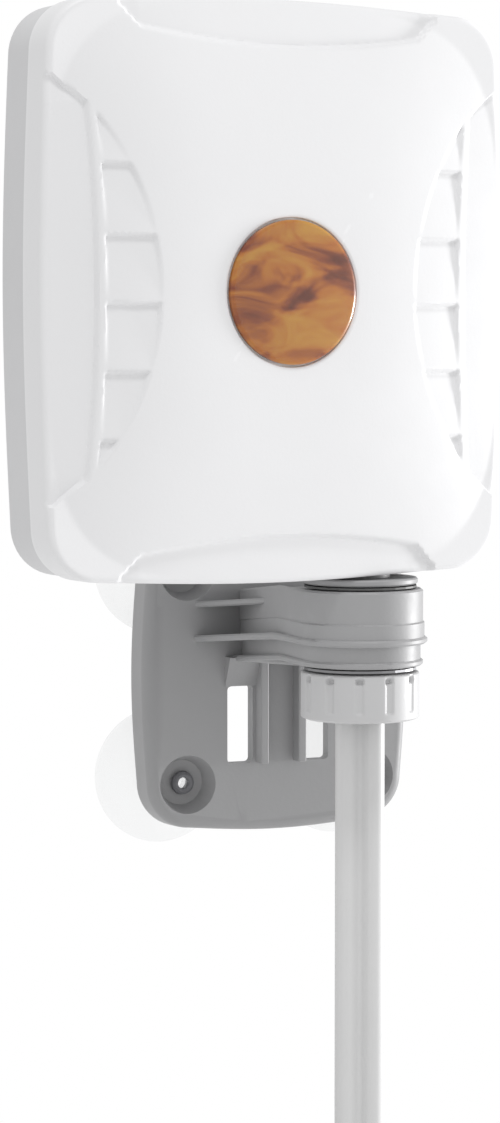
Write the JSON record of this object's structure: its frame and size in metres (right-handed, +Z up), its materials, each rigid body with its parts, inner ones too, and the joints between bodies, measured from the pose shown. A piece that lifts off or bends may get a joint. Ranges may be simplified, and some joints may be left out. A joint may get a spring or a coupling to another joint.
{
  "type": "outdoor panel antenna",
  "caption": "Crowned square panel antenna on a swivelling bracket with suction cups, strap slots, a fluted clamping nut and a long twin coaxial lead.",
  "frame": {"origin": "centre of the four suction cup lips, on the plane that rests on the wall or window", "axes": "+Z up, +X to the right, -Y is where the bracket and the panel face"},
  "size_m": [0.14, 0.0873, 0.3876],
  "materials": {
    "radome_white": "fine satin moulded plastic",
    "housing_grey": "satin moulded plastic",
    "bracket_grey": "satin moulded plastic",
    "nut_white": "satin moulded plastic",
    "seal_rubber": "matte",
    "badge_amber": "printed amber under clear resin",
    "clear_lens": "clear domed resin",
    "circuit_board": "solder mask",
    "sheet_aluminium": "rolled",
    "copper_foil": "copper foil",
    "inner_coax": "satin",
    "grommet_rubber": "matte",
    "lead_jacket": "smooth satin jacket",
    "tie_strap": "hook and loop strap",
    "boot_rubber": "matte",
    "plug_brass": "gold plated",
    "washer_steel": "bright",
    "washer_dark": "acetal",
    "standoff_brass": "turned",
    "screw_steel": "bright",
    "clear_cup": "clear soft vinyl"
  },
  "bodies": {
    "bracket": {"wall_bracket": "bracket_grey", "suction_cup_1": "clear_cup", "suction_cup_2": "clear_cup", "suction_cup_3": "clear_cup", "suction_cup_4": "clear_cup", "friction_washer": "washer_dark"},
    "head": {"front_cover": "radome_white", "rear_housing": "housing_grey", "cover_seal": "seal_rubber", "badge_base": "badge_amber", "badge_dome": "clear_lens", "antenna_board": "circuit_board", "reflector_plate": "sheet_aluminium", "radiator_1": "copper_foil", "radiator_2": "copper_foil", "standoff_1": "standoff_brass", "standoff_2": "standoff_brass", "standoff_3": "standoff_brass", "standoff_4": "standoff_brass", "board_screw_1": "screw_steel", "board_screw_2": "screw_steel", "board_screw_3": "screw_steel", "board_screw_4": "screw_steel", "cover_screw_1": "screw_steel", "cover_screw_2": "screw_steel", "cover_screw_3": "screw_steel", "cover_screw_4": "screw_steel", "feed_lead_1": "inner_coax", "feed_lead_2": "inner_coax", "stem": "housing_grey", "stem_o_ring": "seal_rubber", "cable_grommet": "grommet_rubber", "lead_run": "lead_jacket", "lead_coil": "lead_jacket", "lead_end": "lead_jacket", "coil_tie_1": "tie_strap", "coil_tie_2": "tie_strap", "split_boot": "boot_rubber", "sma_body_1": "plug_brass", "sma_body_2": "plug_brass"},
    "washer": {"clamp_washer": "washer_steel"},
    "nut": {"clamp_nut": "nut_white"},
    "plug_nut_1": {"sma_nut_1": "plug_brass"},
    "plug_nut_2": {"sma_nut_2": "plug_brass"}
  },
  "joints": [
    {"name": "panel_swivel", "type": "hinge", "parent": "bracket", "child": "head", "pos_m": [0, -0.065, 0], "axis": [0, 0, 1], "range_deg": [-45, 175]},
    {"name": "nut_travel", "type": "slide", "parent": "bracket", "child": "washer", "axis": [0, 0, -1], "range_m": [0, 0.0061]},
    {"name": "nut_turn", "type": "hinge", "parent": "washer", "child": "nut", "pos_m": [0, -0.065, 0], "axis": [0, 0, 1], "range_deg": [0, 1080]},
    {"name": "plug_nut_1_turn", "type": "hinge", "parent": "head", "child": "plug_nut_1", "pos_m": [-0.013, -0.0699, -0.187], "axis": [0, 0, 1], "continuous": true},
    {"name": "plug_nut_2_turn", "type": "hinge", "parent": "head", "child": "plug_nut_2", "pos_m": [-0.013, -0.0601, -0.187], "axis": [0, 0, 1], "continuous": true}
  ],
  "couplings": [
    {"joint": "nut_travel", "follows": "nut_turn", "m_per_rad": 0.00031831}
  ]
}
